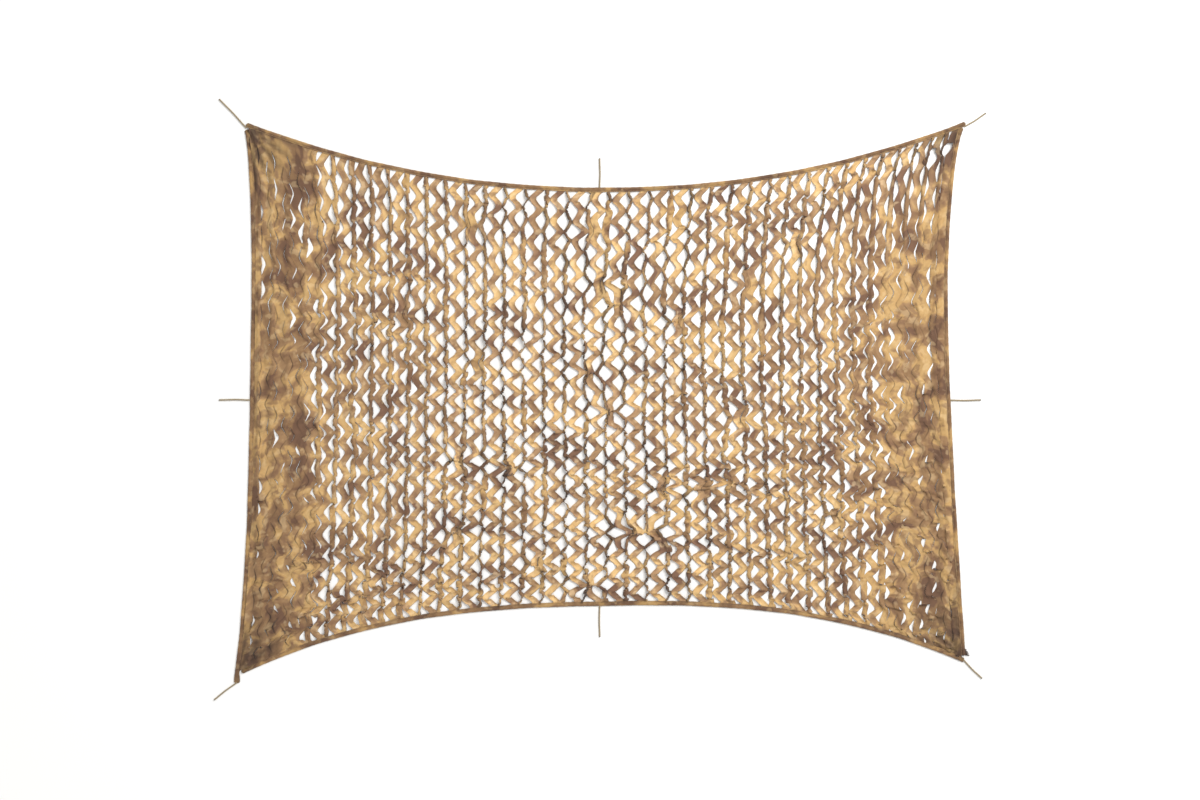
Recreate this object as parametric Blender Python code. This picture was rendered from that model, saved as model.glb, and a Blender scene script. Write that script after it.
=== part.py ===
"""Camouflage netting: a slit cloth drawn open, its four edge bindings and its eight ties.

The net lies spread out on the surface, face up, with its long way along X. Drawing the slit
cloth open leaves its four edges bowed inward between the corners. The origin is under the
middle of the net at the height of the surface. Metres, +Z up.
"""

import math

import bmesh
import bpy
from mathutils import Vector
from mathutils.geometry import intersect_line_line_2d

# Corners of the net, where the centrelines of its bindings cross
CORNERS = {
    "top_left": (-0.9726, 0.764),
    "top_right": (1.0031, 0.766),
    "bottom_left": (-0.9979, -0.746),
    "bottom_right": (0.9997, -0.708),
}

# name: (from corner, to corner, draw-in, fullness, lean of the deepest point,
#        start after the first corner, stop before the second, sections)
EDGES = {
    "top": ("top_left", "top_right", 0.180, 2.1, 1.0, 0.0, -0.002, 30),
    "bottom": ("bottom_left", "bottom_right", 0.174, 2.6, 1.0, 0.0120, -0.002, 30),
    "left": ("top_left", "bottom_left", 0.029, 3.2, 0.9, 0.0135, -0.026, 22),
    "right": ("top_right", "bottom_right", 0.052, 1.7, 0.6, 0.0175, 0.0125, 22),
}

# Edge bindings: a tape folded over the cut edge and sewn down
BINDING_WIDTH = 0.013
BINDING_HEIGHT = 0.0055
SEAM_GAP = 0.0005  # between a binding and the cloth beside it

# Cloth
CLOTH_THICKNESS = 0.002
CLOTH_LIFT = 0.0010  # the middle of its thickness where it lies flat
GRID_COLUMNS = 34
GRID_ROWS = 22
GRID_CROWDING = 0.5  # cells are this much narrower along the edges than on average

# The slit pattern: pairs of slit lines across the net and slits up each line
PAIRS = 38
SLITS = 22
PITCH_SIDE = 0.040  # one pair beside the left and right edges, still nearly shut
PITCH_GAIN = 0.0165  # what it gains in the middle, drawn open
GAP_COLUMNS = range(7, 31, 3)
GAP_ROWS = range(2, 20, 2)
GAP_WIDTH = 0.026
GAP_HEIGHT = 0.034

# Large gaps near the corners: (x, y, half length, half width, turn in degrees)
CORNER_GAPS = [
    (0.9520, 0.7020, 0.0140, 0.0125, 70),
    (0.9345, 0.6760, 0.0135, 0.0085, 80),
    (0.9570, 0.7330, 0.0125, 0.0024, 36),
    (-0.9560, -0.6770, 0.0095, 0.0032, 86),
]

# Creases that run out of each corner: (height, reach, creases in a quarter turn, phase)
FANS = {
    "top_left": (0.0085, 0.19, 5, 0.4),
    "top_right": (0.0060, 0.14, 4, 1.7),
    "bottom_left": (0.0080, 0.18, 4, 0.9),
    "bottom_right": (0.0090, 0.17, 5, 2.3),
}
PUCKER_HEIGHT = 0.0040
PUCKER_REACH = 0.085
PUCKERS = 11
SWELL_HEIGHT = 0.0022

# Ties: (name, where it leaves the edging, free end)
TIES = [
    ("tie_top_left", (-0.9775, 0.7602), (-1.0475, 0.8345)),
    ("tie_top", (-0.0014, 0.5921), (-0.0010, 0.6720)),
    ("tie_top_right", (1.0098, 0.7628), (1.0615, 0.7960)),
    ("tie_left", (-0.9633, 0.0065), (-1.0480, 0.0070)),
    ("tie_right", (0.9648, 0.0065), (1.0480, 0.0070)),
    ("tie_bottom_left", (-1.0043, -0.7745), (-1.0615, -0.8180)),
    ("tie_bottom", (-0.0010, -0.5600), (-0.0008, -0.6450)),
    ("tie_bottom_right", (1.0042, -0.7128), (1.0505, -0.7590)),
]
TIE_DIAMETER = 0.0044
TIE_LIFT = 0.0003  # under a tie, and between its end and the binding
TIE_BOW = 0.0012  # how far a tie strays from a straight line
TIE_POINTS = 9


def clear_scene():
    for item in list(bpy.data.objects):
        bpy.data.objects.remove(item, do_unlink=True)


def fabric(name, color, roughness):
    """A plain cloth or cord material."""
    material = bpy.data.materials.new(name)
    material.use_nodes = True
    shader = material.node_tree.nodes["Principled BSDF"]
    shader.inputs["Base Color"].default_value = (*color, 1.0)
    shader.inputs["Roughness"].default_value = roughness
    shader.inputs["Metallic"].default_value = 0.0
    return material


def edge_point(name, t):
    """A point of an edge's centreline, t from 0 at its first corner to 1 at its second."""
    first, second, draw_in, fullness, lean, _, _, _ = EDGES[name]
    a = Vector(CORNERS[first])
    b = Vector(CORNERS[second])
    along = b - a
    inward = Vector((-along.y, along.x)).normalized()
    if inward.dot((a + b) / 2) > 0:
        inward.negate()
    bow = draw_in * (1 - abs(2 * t**lean - 1) ** fullness)
    return a + along * t + inward * bow


def inward_normal(before, after):
    """The unit normal of a short run of an edge, on the net's side."""
    run = after - before
    normal = Vector((-run.y, run.x)).normalized()
    if normal.dot((before + after) / 2) > 0:
        normal.negate()
    return normal


def binding_line(name):
    """The centreline of a binding, cut short or running on past its corners."""
    first, second, _, _, _, start, stop, sections = EDGES[name]
    length = (Vector(CORNERS[second]) - Vector(CORNERS[first])).length
    low = max(start, 0) / length
    high = 1 - max(stop, 0) / length
    points = [edge_point(name, low + (high - low) * i / sections) for i in range(sections + 1)]
    if start < 0:
        points.insert(0, points[0] + (points[0] - points[1]).normalized() * -start)
    if stop < 0:
        points.append(points[-1] + (points[-1] - points[-2]).normalized() * -stop)
    return points


def line_normals(points):
    """Inward normals along a line of points."""
    normals = []
    for i in range(len(points)):
        before = points[max(i - 1, 0)]
        after = points[min(i + 1, len(points) - 1)]
        normals.append(inward_normal(before, after))
    return normals


def make_binding(name, material):
    """A folded tape: flat underneath, rounded over its outer fold."""
    points = binding_line(name)
    normals = line_normals(points)
    half = BINDING_WIDTH / 2
    profile = [
        (half, 0.0),
        (half, BINDING_HEIGHT * 0.82),
        (0.0, BINDING_HEIGHT),
        (-half * 0.8, BINDING_HEIGHT * 0.8),
        (-half, BINDING_HEIGHT * 0.4),
        (-half * 0.8, 0.0),
    ]
    mesh = bmesh.new()
    rings = []
    for point, normal in zip(points, normals):
        ring = []
        for side, height in profile:
            place = point + normal * side
            ring.append(mesh.verts.new((place.x, place.y, height)))
        rings.append(ring)
    count = len(profile)
    for ring, following in zip(rings, rings[1:]):
        for j in range(count):
            k = (j + 1) % count
            mesh.faces.new((ring[j], ring[k], following[k], following[j]))
    mesh.faces.new(rings[0])
    mesh.faces.new(list(reversed(rings[-1])))
    bmesh.ops.recalc_face_normals(mesh, faces=mesh.faces)
    add_object("binding_" + name, mesh, material)


def add_object(name, mesh, material):
    data = bpy.data.meshes.new(name)
    mesh.to_mesh(data)
    mesh.free()
    data.materials.append(material)
    item = bpy.data.objects.new(name, data)
    bpy.context.scene.collection.objects.link(item)
    return item


def cloth_border(name):
    """The line along which the cloth meets the binding of one edge."""
    samples = 200
    points = [edge_point(name, i / samples) for i in range(samples + 1)]
    offset = BINDING_WIDTH / 2 + SEAM_GAP
    return [p + n * offset for p, n in zip(points, line_normals(points))]


def crossing(one, other):
    """Where two borders cross: the place along each, in steps."""
    for i in range(len(one) - 1):
        for j in range(len(other) - 1):
            if (one[i] - other[j]).length < 0.05:
                hit = intersect_line_line_2d(one[i], one[i + 1], other[j], other[j + 1])
                if hit:
                    on_one = i + (hit - one[i]).length / (one[i + 1] - one[i]).length
                    on_other = j + (hit - other[j]).length / (other[j + 1] - other[j]).length
                    return on_one, on_other
    raise ValueError("the borders don't cross")


def read_line(line, place):
    """A point of a line, place counted in steps."""
    i = min(int(place), len(line) - 2)
    return line[i].lerp(line[i + 1], place - i)


def cloth_patch():
    """A function that puts a point of the cloth, u across and v up from 0 to 1, in plan."""
    lines = {name: cloth_border(name) for name in EDGES}
    top_a, left_a = crossing(lines["top"], lines["left"])
    top_b, right_a = crossing(lines["top"], lines["right"])
    bottom_a, left_b = crossing(lines["bottom"], lines["left"])
    bottom_b, right_b = crossing(lines["bottom"], lines["right"])

    def side(name, low, high, f):
        return read_line(lines[name], low + (high - low) * f)

    def place(u, v):
        top = side("top", top_a, top_b, u)
        bottom = side("bottom", bottom_a, bottom_b, u)
        left = side("left", left_b, left_a, v)
        right = side("right", right_b, right_a, v)
        corners = (
            (1 - u) * (1 - v) * side("bottom", bottom_a, bottom_b, 0)
            + u * (1 - v) * side("bottom", bottom_a, bottom_b, 1)
            + (1 - u) * v * side("top", top_a, top_b, 0)
            + u * v * side("top", top_a, top_b, 1)
        )
        return (1 - v) * bottom + v * top + (1 - u) * left + u * right - corners

    return place


def fold_height(x, y, u, v):
    """How far the cloth's folds stand above where it lies flat."""
    height = 0.0
    for corner, (tall, reach, creases, phase) in FANS.items():
        run = Vector((x, y)) - Vector(CORNERS[corner])
        turn = math.atan2(abs(run.y), abs(run.x))
        crest = max(0.0, math.sin(4 * creases * turn + phase))
        height += tall * crest * math.exp(-((run.length / reach) ** 2))
    side = min(u, 1 - u) * 1.95
    crest = 0.5 + 0.5 * math.sin(2 * math.pi * PUCKERS * v + 5 * u + 2 * math.sin(9 * v))
    height += PUCKER_HEIGHT * crest * math.exp(-((side / PUCKER_REACH) ** 2))
    swell = math.sin(7.3 * u + 2.1 * v) * math.sin(5.1 * v - 2.7 * u + 0.6)
    return height + SWELL_HEIGHT * max(0.0, swell)


def crowded(i, count):
    """Even steps from 0 to 1, drawn together toward both ends."""
    w = i / count
    return w - GRID_CROWDING * math.sin(2 * math.pi * w) / (2 * math.pi)


def pair_places():
    """The left side of each pair of slit lines, as a share of the cloth's width."""
    places = [0.0]
    for i in range(PAIRS):
        middle = (i + 0.5) / PAIRS
        pitch = PITCH_SIDE + PITCH_GAIN * math.sin(math.pi * middle) ** 0.8
        places.append(places[-1] + pitch)
    return [p / places[-1] for p in places]


def gap_outline(centre, length, width, turn):
    """A slit drawn open: one straight side, and the other side drawn to a blunt point."""
    shape = [(-1.0, -0.72), (-0.5, -1.0), (1.0, -0.12), (1.0, 0.12), (-0.5, 1.0), (-1.0, 0.72)]
    cos, sin = math.cos(turn), math.sin(turn)
    outline = []
    for a, b in shape:
        x, y = a * width / 2, b * length / 2
        outline.append((centre[0] + x * cos - y * sin, centre[1] + x * sin + y * cos))
    return outline


def large_gaps(place):
    """Outlines of the largest gaps, in the open middle and near two corners."""
    outlines = []
    columns = pair_places()
    for n, column in enumerate(GAP_COLUMNS):
        for row in GAP_ROWS:
            flipped = (n + row // 2) % 2
            u = columns[column] + 0.25 * (1 if not flipped else -1) / PAIRS
            v = (row + (0.5 if flipped else 0.0) + 0.75) / SLITS
            open_share = 0.72 + 0.28 * math.sin(math.pi * u) ** 2
            centre = place(u, v)
            turn = math.pi * flipped + 0.12 * math.sin(3.0 * n + 1.7 * row)
            outlines.append(
                gap_outline(centre, GAP_HEIGHT * open_share, GAP_WIDTH * open_share, turn)
            )
    for x, y, half_length, half_width, turn in CORNER_GAPS:
        angle = math.radians(turn - 90)
        outlines.append(gap_outline((x, y), 2 * half_length, 2 * half_width, angle))
    return outlines


def make_cutter(outlines):
    """Upright prisms on the outlines, taller than the cloth."""
    mesh = bmesh.new()
    for outline in outlines:
        low = [mesh.verts.new((x, y, -0.01)) for x, y in outline]
        high = [mesh.verts.new((x, y, 0.03)) for x, y in outline]
        mesh.faces.new(list(reversed(low)))
        mesh.faces.new(high)
        for j in range(len(outline)):
            k = (j + 1) % len(outline)
            mesh.faces.new((low[j], low[k], high[k], high[j]))
    data = bpy.data.meshes.new("gap_cutter")
    mesh.to_mesh(data)
    mesh.free()
    cutter = bpy.data.objects.new("gap_cutter", data)
    cutter.hide_render = True
    cutter.display_type = "WIRE"
    bpy.context.scene.collection.objects.link(cutter)
    return cutter


def make_cloth(material):
    """The net's one piece of cloth: an uneven sheet with its largest gaps cut through."""
    place = cloth_patch()
    mesh = bmesh.new()
    half = CLOTH_THICKNESS / 2
    layers = {}
    for side in (-1, 1):
        for i in range(GRID_COLUMNS + 1):
            for j in range(GRID_ROWS + 1):
                u = crowded(i, GRID_COLUMNS)
                v = crowded(j, GRID_ROWS)
                point = place(u, v)
                height = CLOTH_LIFT + fold_height(point.x, point.y, u, v) + side * half
                layers[side, i, j] = mesh.verts.new((point.x, point.y, height))
    for i in range(GRID_COLUMNS):
        for j in range(GRID_ROWS):
            lower = [(i, j), (i + 1, j), (i + 1, j + 1)]
            upper = [(i, j), (i + 1, j + 1), (i, j + 1)]
            for half_cell in (lower, upper):
                mesh.faces.new([layers[1, a, b] for a, b in half_cell])
                mesh.faces.new([layers[-1, a, b] for a, b in reversed(half_cell)])
    bottom = [(i, 0) for i in range(GRID_COLUMNS)]
    right = [(GRID_COLUMNS, j) for j in range(GRID_ROWS)]
    top = [(i, GRID_ROWS) for i in range(GRID_COLUMNS, 0, -1)]
    left = [(0, j) for j in range(GRID_ROWS, 0, -1)]
    rim = bottom + right + top + left
    for one, other in zip(rim, rim[1:] + rim[:1]):
        mesh.faces.new(
            (layers[-1, *one], layers[-1, *other], layers[1, *other], layers[1, *one])
        )
    cloth = add_object("net_panel", mesh, material)
    cut = cloth.modifiers.new("gaps", "BOOLEAN")
    cut.operation = "DIFFERENCE"
    cut.solver = "EXACT"
    cut.object = make_cutter(large_gaps(place))
    return cloth


def make_tie(name, near, free, material):
    """A short cord laid out nearly straight on the surface."""
    near = Vector(near)
    free = Vector(free)
    across = Vector((near.y - free.y, free.x - near.x)).normalized()
    curve = bpy.data.curves.new(name, "CURVE")
    curve.dimensions = "3D"
    curve.bevel_depth = TIE_DIAMETER / 2
    curve.bevel_resolution = 2
    curve.use_fill_caps = True
    spline = curve.splines.new("POLY")
    spline.points.add(TIE_POINTS - 1)
    for i in range(TIE_POINTS):
        t = i / (TIE_POINTS - 1)
        place = near.lerp(free, t) + across * TIE_BOW * math.sin(math.pi * t) ** 2
        spline.points[i].co = (place.x, place.y, TIE_DIAMETER / 2 + TIE_LIFT, 1.0)
    spline.use_smooth = True
    curve.materials.append(material)
    item = bpy.data.objects.new(name, curve)
    bpy.context.scene.collection.objects.link(item)


clear_scene()
make_cloth(fabric("printed_cloth", (0.42, 0.27, 0.14), 0.85))
binding_fabric = fabric("binding_tape", (0.26, 0.16, 0.08), 0.8)
for edge in EDGES:
    make_binding(edge, binding_fabric)
tie_cord = fabric("tie_cord", (0.50, 0.41, 0.29), 0.7)
for tie_name, tie_near, tie_free in TIES:
    make_tie(tie_name, tie_near, tie_free, tie_cord)
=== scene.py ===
import math

import bmesh
import bpy
import numpy as np
from mathutils import Matrix, Vector


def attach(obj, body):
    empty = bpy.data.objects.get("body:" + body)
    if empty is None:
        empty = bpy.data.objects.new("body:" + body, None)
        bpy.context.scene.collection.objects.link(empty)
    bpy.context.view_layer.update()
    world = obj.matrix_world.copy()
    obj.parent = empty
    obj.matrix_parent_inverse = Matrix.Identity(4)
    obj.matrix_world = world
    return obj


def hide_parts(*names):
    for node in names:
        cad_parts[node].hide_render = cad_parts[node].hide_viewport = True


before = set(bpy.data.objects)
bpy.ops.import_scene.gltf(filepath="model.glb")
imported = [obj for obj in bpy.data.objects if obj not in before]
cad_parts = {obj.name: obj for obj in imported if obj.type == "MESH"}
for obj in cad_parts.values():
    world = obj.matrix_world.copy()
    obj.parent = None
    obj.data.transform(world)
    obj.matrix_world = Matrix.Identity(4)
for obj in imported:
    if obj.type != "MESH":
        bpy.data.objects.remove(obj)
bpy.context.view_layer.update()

# --- Camera --------------------------------------------------------------------------
# The net lies spread out flat and is looked at from straight above. A long lens far up
# keeps its corners from leaning.
LENS = 85.0
SENSOR = 36.0
VIEW_WIDTH = 3.3  # of floor, from side to side of the frame
VIEW_MIDDLE = (0.0, 0.0069)
FAR_CLIP = 40.0

camera_data = bpy.data.cameras.new("camera")
camera_data.lens = LENS
camera_data.sensor_width = SENSOR
camera_data.clip_end = FAR_CLIP
camera = bpy.data.objects.new("camera", camera_data)
camera.location = (*VIEW_MIDDLE, VIEW_WIDTH * LENS / SENSOR)
bpy.context.scene.collection.objects.link(camera)
bpy.context.scene.camera = camera


# --- Ties ----------------------------------------------------------------------------
# Eight short cords, one at each corner and one at the middle of each side. Each is cut
# from three-strand twisted cotton and polyester cord, sewn into the binding at its near
# end, and laid straight out. Its free end is melted so that it can't unravel.
# (name, where it leaves the binding, free end)
TIES = [
    ("top_left", (-0.9775, 0.7602), (-1.0475, 0.8345)),
    ("top", (-0.0014, 0.5921), (-0.0010, 0.6720)),
    ("top_right", (1.0098, 0.7628), (1.0615, 0.7960)),
    ("left", (-0.9633, 0.0065), (-1.0480, 0.0070)),
    ("right", (0.9648, 0.0065), (1.0480, 0.0070)),
    ("bottom_left", (-1.0043, -0.7745), (-1.0615, -0.8180)),
    ("bottom", (-0.0010, -0.5600), (-0.0008, -0.6450)),
    ("bottom_right", (1.0042, -0.7128), (1.0505, -0.7590)),
]
TIE_DIAMETER = 0.0044
TIE_LIFT = 0.0003  # the strands' hair keeps the cord off the surface
TIE_BOW = 0.0012  # how far its middle strays from straight
TIE_LAY = 0.0135  # one full turn of a strand
TIE_STEP = 0.0007  # between two rings along it
TIE_SIDES = 24
TIE_STRANDS = 3
TIE_MELT = 0.0032  # the hardened end
TIE_TUCK = 0.0080  # sewn into the binding
# Shares of its radius: the bottom of the grooves, the strands above it, and what melting fills
TIE_CORE = 0.74
TIE_LOBE = 0.26
TIE_FILL = 0.22
TIE_UNEVEN = 0.03
TIE_BEAD = 0.10  # how much the melted end swells
TIE_MELT_TONE = 1.6  # how fast the melted end turns dark
TIE_GROOVE_SHADE = 0.75
TIE_GROOVE_NARROW = 2.2  # a higher value makes the dark line thinner


def linear(code):
    """An sRGB hex colour as linear RGBA."""
    parts = [int(code[i : i + 2], 16) / 255 for i in (1, 3, 5)]
    return (*[p / 12.92 if p <= 0.04045 else ((p + 0.055) / 1.055) ** 2.4 for p in parts], 1.0)


def add(tree, kind, settings=None, links=None):
    """A node of that kind, with its properties and inputs set and its inputs linked."""
    item = tree.nodes.new(kind)
    for name, value in (settings or {}).items():
        if isinstance(name, int) or name in item.inputs:
            item.inputs[name].default_value = value
        else:
            setattr(item, name, value)
    for name, socket in (links or {}).items():
        tree.links.new(socket, item.inputs[name])
    return item


def finish_piece(name, mesh, material, slot, *nodes):
    """Puts a bmesh into the scene as a smooth piece that stands for CAD nodes."""
    data = bpy.data.meshes.new(name)
    mesh.to_mesh(data)
    mesh.free()
    data.shade_smooth()
    data.materials.append(material)
    item = bpy.data.objects.new(name, data)
    bpy.context.scene.collection.objects.link(item)
    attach(item, "root")
    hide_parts(*nodes)
    return item


def twisted_cord_material():
    """Twisted cotton and polyester cord: matt and hairy, darker and glassy where melted, with
    painted shade in its grooves.
    """
    material = bpy.data.materials.new("twisted_cotton_polyester_cord")
    material.use_nodes = True
    tree = material.node_tree
    shader = tree.nodes["Principled BSDF"]
    shader.inputs["Roughness"].default_value = 0.85
    shader.inputs["Sheen Weight"].default_value = 0.25
    shader.inputs["Sheen Roughness"].default_value = 0.5
    place = add(tree, "ShaderNodeTexCoord")
    melt = add(tree, "ShaderNodeAttribute", {"attribute_name": "melt"})
    # Painted shade in the grooves between the strands
    groove = add(tree, "ShaderNodeAttribute", {"attribute_name": "groove"})
    # Yarn is 0.3 mm thick; it is drawn at 0.8 mm so that it shows
    yarn = add(
        tree,
        "ShaderNodeTexNoise",
        {"Scale": 1250.0, "Detail": 3.0},
        {"Vector": place.outputs["Object"]},
    )
    stain = add(
        tree,
        "ShaderNodeTexNoise",
        {"Scale": 45.0, "Detail": 2.0},
        {"Vector": place.outputs["Object"]},
    )
    base = add(
        tree,
        "ShaderNodeMix",
        {"data_type": "RGBA", 6: linear("#a69679"), 7: linear("#8c7a5c")},
        {0: stain.outputs["Fac"]},
    )
    shaded = add(
        tree,
        "ShaderNodeMix",
        {"data_type": "RGBA", 7: linear("#4d4232")},
        {0: groove.outputs["Fac"], 6: base.outputs[2]},
    )
    burnt = add(
        tree,
        "ShaderNodeMix",
        {"data_type": "RGBA", 7: linear("#5c544b")},
        {0: melt.outputs["Fac"], 6: shaded.outputs[2]},
    )
    bump = add(
        tree,
        "ShaderNodeBump",
        {"Strength": 0.5, "Distance": 0.0004},
        {"Height": yarn.outputs["Fac"]},
    )
    tree.links.new(burnt.outputs[2], shader.inputs["Base Color"])
    tree.links.new(bump.outputs["Normal"], shader.inputs["Normal"])
    return material


def make_tie(name, near, free, material):
    """A ring drawn along the tie in small turning steps, with three lobes for its strands."""
    near = Vector((*near, TIE_DIAMETER / 2 + TIE_LIFT))
    free = Vector((*free, TIE_DIAMETER / 2 + TIE_LIFT))
    near -= (free - near).normalized() * TIE_TUCK
    run = free - near
    along = run.normalized()
    across = Vector((-along.y, along.x, 0.0))
    steps = round(run.length / TIE_STEP)
    mesh = bmesh.new()
    melt_layer = mesh.verts.layers.float.new("melt")
    groove_shade_layer = mesh.verts.layers.float.new("groove")
    ring = bmesh.ops.create_circle(mesh, cap_ends=False, segments=TIE_SIDES, radius=1.0)["verts"]

    def put(ring, i):
        t = i / steps
        middle = near + run * t - across * TIE_BOW * math.sin(math.pi * t) ** 2
        from_end = run.length * (1 - t)
        melt = max(0.0, 1 - from_end / TIE_MELT)
        from_start = run.length * t
        swell = 1.0 + TIE_UNEVEN * math.sin(i * 0.37)
        swell += TIE_BEAD * math.sin(math.pi * min(1, melt))
        for j, vert in enumerate(ring):
            turn = 2 * math.pi * j / TIE_SIDES
            twist = 2 * math.pi * from_start / TIE_LAY
            lobe = abs(math.cos(TIE_STRANDS / 2 * (turn - twist)))
            radius = TIE_CORE + TIE_LOBE * lobe * (1 - melt) + TIE_FILL * melt
            radius = TIE_DIAMETER / 2 * radius
            radius *= swell * math.sqrt(max(0.0, 1 - melt**4))
            radius = min(radius, TIE_DIAMETER / 2)
            upward = Vector((0, 0, math.sin(turn) * radius))
            vert.co = middle + across * math.cos(turn) * radius + upward
            vert[melt_layer] = min(1.0, TIE_MELT_TONE * melt)
            # Painted shade in the grooves between the strands, none on the melted end
            dark = max(0.0, 1 - TIE_GROOVE_NARROW * lobe)
            vert[groove_shade_layer] = TIE_GROOVE_SHADE * dark * (1 - melt)

    put(ring, 0)
    mesh.faces.new(ring)
    edges = list(mesh.edges)
    for i in range(1, steps + 1):
        made = bmesh.ops.extrude_edge_only(mesh, edges=edges)["geom"]
        edges = [g for g in made if isinstance(g, bmesh.types.BMEdge)]
        fresh = [g for g in made if isinstance(g, bmesh.types.BMVert)]
        edges = [e for e in edges if e.verts[0] in fresh and e.verts[1] in fresh]
        put(fresh, i)
    mesh.faces.new(fresh)
    bmesh.ops.recalc_face_normals(mesh, faces=mesh.faces)
    item = finish_piece("cord_" + name, mesh, material, "tie_cord", "tie_" + name)


cord_material = twisted_cord_material()
for name, near, free in TIES:
    make_tie(name, near, free, cord_material)


# --- Floor and light -----------------------------------------------------------------
# A plain white floor and plain soft light from all round, with more of it from the upper
# right.
FLOOR_SIZE = 30.0
FLOOR_WHITE = "#fbfaf8"
# (place, size, power)
LIGHTS = [((2.6, 2.8, 3.8), 3.2, 262.0), ((-2.4, -2.6, 4.0), 3.5, 48.0)]
SKY = 0.57

floor_mesh = bmesh.new()
bmesh.ops.create_grid(floor_mesh, x_segments=1, y_segments=1, size=FLOOR_SIZE / 2)
floor_data = bpy.data.meshes.new("floor")
floor_mesh.to_mesh(floor_data)
floor_mesh.free()
floor = bpy.data.objects.new("floor", floor_data)
bpy.context.scene.collection.objects.link(floor)

# Matt painted board: nearly white, with no shine
floor_paint = bpy.data.materials.new("matt_painted_board")
floor_paint.use_nodes = True
floor_shader = floor_paint.node_tree.nodes["Principled BSDF"]
floor_shader.inputs["Base Color"].default_value = linear(FLOOR_WHITE)
floor_shader.inputs["Roughness"].default_value = 1.0
floor_shader.inputs["Specular IOR Level"].default_value = 0.0
floor_data.materials.append(floor_paint)

for place, size, power in LIGHTS:
    light_data = bpy.data.lights.new("softbox", "AREA")
    light_data.size = size
    light_data.energy = power
    light = bpy.data.objects.new("softbox", light_data)
    light.location = place
    light.rotation_euler = (-Vector(place)).to_track_quat("-Z", "Y").to_euler()
    bpy.context.scene.collection.objects.link(light)

sky = bpy.data.worlds.new("studio")
sky.use_nodes = True
sky.node_tree.nodes["Background"].inputs["Color"].default_value = (1.0, 1.0, 1.0, 1.0)
sky.node_tree.nodes["Background"].inputs["Strength"].default_value = SKY
bpy.context.scene.world = sky
bpy.context.scene.view_settings.view_transform = "Standard"


# --- Edge bindings -------------------------------------------------------------------
# Four lengths of printed tape, 26 mm wide, each folded in half over the cut edge of the
# cloth and sewn down near its open side with one row of lockstitch. The net is drawn
# from its corners, so the tapes bow inward, and they pucker where the stitches pull.
CORNERS = {
    "top_left": (-0.9726, 0.764),
    "top_right": (1.0031, 0.766),
    "bottom_left": (-0.9979, -0.746),
    "bottom_right": (0.9997, -0.708),
}
# name: (from corner, to corner, draw-in, fullness, lean of the deepest point,
#        start after the first corner, stop before the second)
EDGES = {
    "top": ("top_left", "top_right", 0.180, 2.1, 1.0, 0.0, -0.002),
    "bottom": ("bottom_left", "bottom_right", 0.174, 2.6, 1.0, 0.0120, -0.002),
    "left": ("top_left", "bottom_left", 0.029, 3.2, 0.9, 0.0135, -0.026),
    "right": ("top_right", "bottom_right", 0.052, 1.7, 0.6, 0.0100, 0.0125),
}
TAPE_WIDTH = 0.0130  # folded
TAPE_HEIGHT = 0.0055
TAPE_STEP = 0.0030
STITCH_INSET = 0.0030  # from the open side
PUCKER_PITCH = 0.021  # between two puckers along the stitches
PUCKER_WIDTH = 0.035  # shares of its width and height that a pucker takes off
PUCKER_HEIGHT = 0.07
PUCKER_RIDGE = 0.00035
SWAY_WIDTH = 0.04  # the same for the slow unevenness along it
SWAY_HEIGHT = 0.08
SWAY_SHIFT = 0.0005
TAPE_LIFT = 0.0002
# Painted shade on the tape: how dark it is in its groove, at its open side, in puckers, where it
# sways, and at its ends
GROOVE_SHADE = 0.35
OPEN_SIDE_SHADE = 0.65
PUCKER_SHADE = 0.12
SWAY_SHADE = 0.22
TAPE_END_SHADE = 0.45
TAPE_END_REACH = 0.045
DARKEST = 0.9
YARN_LENGTH = 0.0125
YARN_OUT = 0.006  # where a loose yarn starts, out from its root
YARN_RADII = (0.0007, 0.0002)  # drawn coarser than real yarn so that it shows
YARN_ROWS = 6
YARN_SHADE = 0.8
# Across the folded tape, from its open side round the fold: (share of half width, height share)
TAPE_SECTION = [
    (1.00, 0.30),
    (1.00, 0.66),
    (0.90, 0.80),
    (0.68, 0.74),
    (0.54, 0.56),  # the stitches' groove, GROOVE_AT below
    (0.40, 0.76),
    (0.05, 0.98),
    (-0.40, 1.00),
    (-0.76, 0.90),
    (-0.96, 0.66),
    (-1.00, 0.40),
    (-0.92, 0.16),
    (-0.70, 0.03),
    (0.00, 0.01),
    (0.80, 0.02),
    (0.97, 0.12),
]
GROOVE_AT = 4
OPEN_SIDE_AT = (0, len(TAPE_SECTION) - 1)
SECTION_ROUND = 0.031  # once round the section, in metres
SECTION_SEAM = 0.012  # a face wider than this crosses its start


def edge_points(name, shares):
    """Points of an edge's centreline, shares from 0 at its first corner to 1 at its second."""
    first, second, draw_in, fullness, lean = EDGES[name][:5]
    a, b = np.array(CORNERS[first]), np.array(CORNERS[second])
    inward = np.array((-(b - a)[1], (b - a)[0])) / np.linalg.norm(b - a)
    if inward @ (a + b) > 0:
        inward = -inward
    shares = np.asarray(shares)[:, None]
    bow = draw_in * (1 - np.abs(2 * np.clip(shares, 0, 1) ** lean - 1) ** fullness)
    return a + (b - a) * shares + inward * bow


def inward_normals(line):
    """Unit normals along a line of points, on the net's side."""
    run = np.gradient(line, axis=0)
    normal = np.stack([-run[:, 1], run[:, 0]], axis=1)
    normal /= np.linalg.norm(normal, axis=1)[:, None]
    flip = (normal * line).sum(axis=1) > 0
    normal[flip] *= -1
    return normal


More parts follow.
